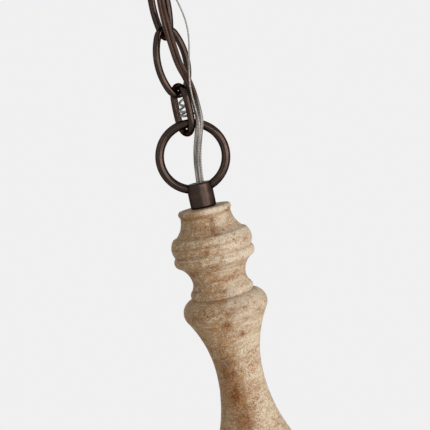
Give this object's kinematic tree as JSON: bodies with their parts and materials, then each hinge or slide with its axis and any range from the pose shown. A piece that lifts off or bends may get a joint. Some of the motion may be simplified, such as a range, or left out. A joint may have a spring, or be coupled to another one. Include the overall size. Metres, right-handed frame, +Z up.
{
  "type": "chandelier",
  "caption": "Hanging chandelier: a turned, weathered-wood column on an oval-link chain, with a domed ceiling canopy and curved metal arms that carry candle lamp holders.",
  "frame": {"origin": "centre of the bracket's top face, on the ceiling plane", "axes": "+Z up, along the column; +X and -Y as seen from the picture's side, with -Y towards the camera"},
  "size_m": [0.484, 0.5506, 0.6906],
  "materials": {
    "weathered_wood": "matte washed and speckled",
    "dark_bronze": "satin dark bronze",
    "zinc_steel": "zinc plated",
    "ivory_sleeve": "matte ivory",
    "socket_resin": "moulded",
    "cord_jacket": "smooth, translucent",
    "tinned_strand": "bare twisted strands"
  },
  "bodies": {
    "ceiling_mount": {"ceiling_bracket": "zinc_steel", "canopy_pipe": "zinc_steel", "pipe_locknut": "zinc_steel", "canopy": "dark_bronze", "top_collar": "dark_bronze", "top_ring": "dark_bronze", "supply_cord": "cord_jacket", "earth_wire": "tinned_strand"},
    "link_1": {"chain_link_1": "dark_bronze"},
    "link_2": {"chain_link_2": "dark_bronze"},
    "link_3": {"chain_link_3": "dark_bronze"},
    "connector": {"connector_link": "dark_bronze"},
    "light": {"hanging_ring": "dark_bronze", "ring_collar": "dark_bronze", "upper_turning": "weathered_wood", "column_vase": "weathered_wood", "lower_turning": "weathered_wood", "arm_hub": "weathered_wood", "bottom_bowl": "weathered_wood", "bottom_drop": "weathered_wood", "acorn_nut": "dark_bronze", "column_pipe": "zinc_steel", "arm_rosettes": "dark_bronze", "arm_nuts": "zinc_steel", "dish_nuts": "dark_bronze", "arm_1": "dark_bronze", "arm_2": "dark_bronze", "arm_3": "dark_bronze", "arm_4": "dark_bronze", "arm_5": "dark_bronze", "arm_6": "dark_bronze", "drip_dish_1": "dark_bronze", "drip_dish_2": "dark_bronze", "drip_dish_3": "dark_bronze", "drip_dish_4": "dark_bronze", "drip_dish_5": "dark_bronze", "drip_dish_6": "dark_bronze", "candle_cup_1": "weathered_wood", "candle_cup_2": "weathered_wood", "candle_cup_3": "weathered_wood", "candle_cup_4": "weathered_wood", "candle_cup_5": "weathered_wood", "candle_cup_6": "weathered_wood", "candle_sleeve_1": "ivory_sleeve", "candle_sleeve_2": "ivory_sleeve", "candle_sleeve_3": "ivory_sleeve", "candle_sleeve_4": "ivory_sleeve", "candle_sleeve_5": "ivory_sleeve", "candle_sleeve_6": "ivory_sleeve", "lamp_socket_1": "socket_resin", "lamp_socket_2": "socket_resin", "lamp_socket_3": "socket_resin", "lamp_socket_4": "socket_resin", "lamp_socket_5": "socket_resin", "lamp_socket_6": "socket_resin"}
  },
  "joints": [
    {"name": "link_1_swing", "type": "hinge", "parent": "ceiling_mount", "child": "link_1", "pos_m": [0, 0, -0.0766], "axis": [0, 1, 0], "range_deg": [-30, 30], "deforming": ["supply_cord", "earth_wire"]},
    {"name": "link_2_swing", "type": "hinge", "parent": "link_1", "child": "link_2", "pos_m": [0, 0, -0.10983], "axis": [0.8878, 0.4602, 0], "range_deg": [-30, 30], "deforming": ["supply_cord", "earth_wire"]},
    {"name": "link_3_swing", "type": "hinge", "parent": "link_2", "child": "link_3", "pos_m": [0, 0, -0.14392], "axis": [0.4602, -0.8878, 0], "range_deg": [-30, 30], "deforming": ["supply_cord", "earth_wire"]},
    {"name": "connector_swing", "type": "hinge", "parent": "link_3", "child": "connector", "pos_m": [0, 0, -0.17802], "axis": [0.8878, 0.4602, 0], "range_deg": [-30, 30], "deforming": ["supply_cord", "earth_wire"]},
    {"name": "light_swing", "type": "hinge", "parent": "connector", "child": "light", "pos_m": [0, 0, -0.20133], "axis": [0, 1, 0], "range_deg": [-30, 30], "deforming": ["supply_cord", "earth_wire"]}
  ]
}
